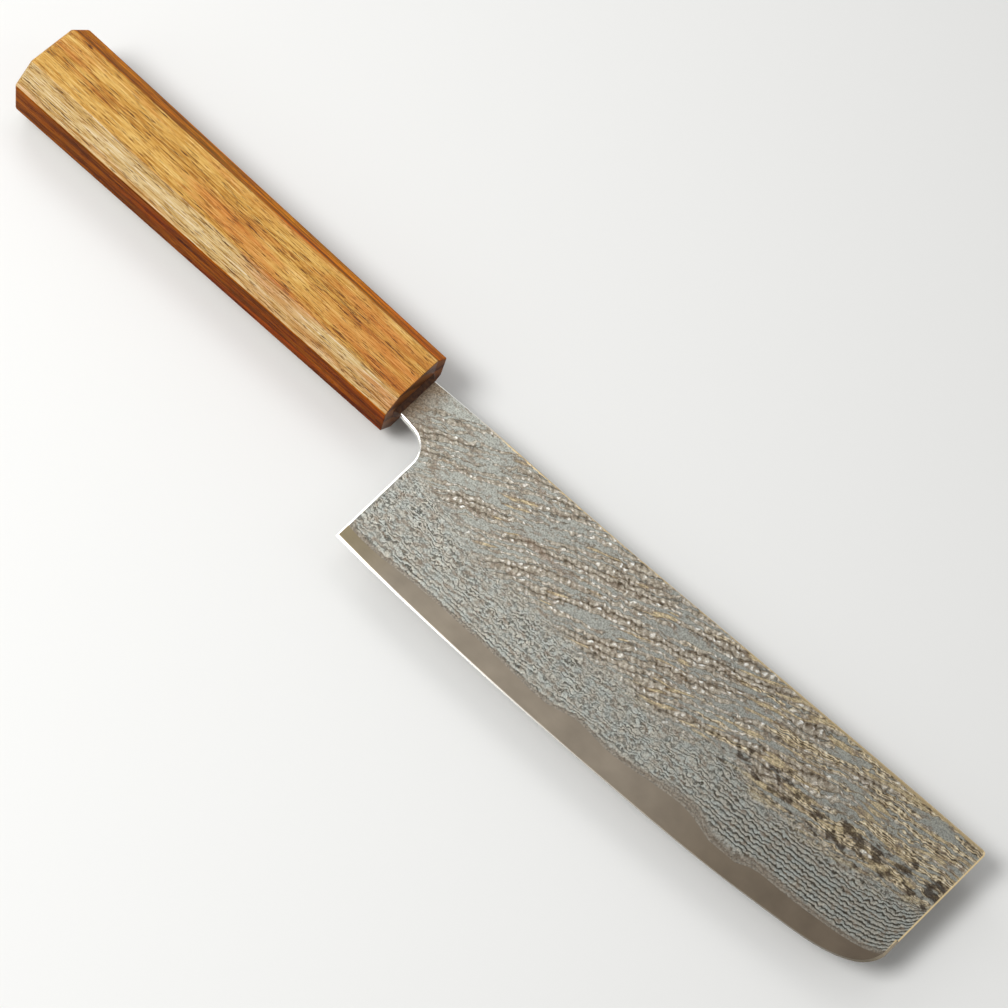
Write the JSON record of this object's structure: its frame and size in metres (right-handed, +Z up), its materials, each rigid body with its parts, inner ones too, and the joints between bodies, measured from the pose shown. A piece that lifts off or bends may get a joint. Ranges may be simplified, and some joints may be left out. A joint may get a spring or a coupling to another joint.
{
  "type": "nakiri knife",
  "caption": "Square-tipped vegetable knife with a laminated, pattern-welded blade and a tapered octagonal oak handle.",
  "frame": {"origin": "middle of the bottom of the bounding box, with the knife lying on its side", "axes": "+X from the handle's butt to the blade's tip, +Y from the cutting edge to the spine, +Z up through the shown side of the blade"},
  "size_m": [0.305, 0.0552, 0.0214],
  "materials": {
    "core_steel": "fine satin ground and honed",
    "damascus_steel": "etched layers, light and dark grey with brown streaks",
    "lacquered_oak": "clear satin lacquer over open-pored oak",
    "epoxy": "cured amber adhesive",
    "seal_resin": "dark resin bead"
  },
  "bodies": {
    "root": {"blade_core": "core_steel", "cladding_front": "damascus_steel", "cladding_back": "damascus_steel", "handle_body": "lacquered_oak", "tang_adhesive": "epoxy", "mouth_seal": "seal_resin"}
  },
  "joints": []
}
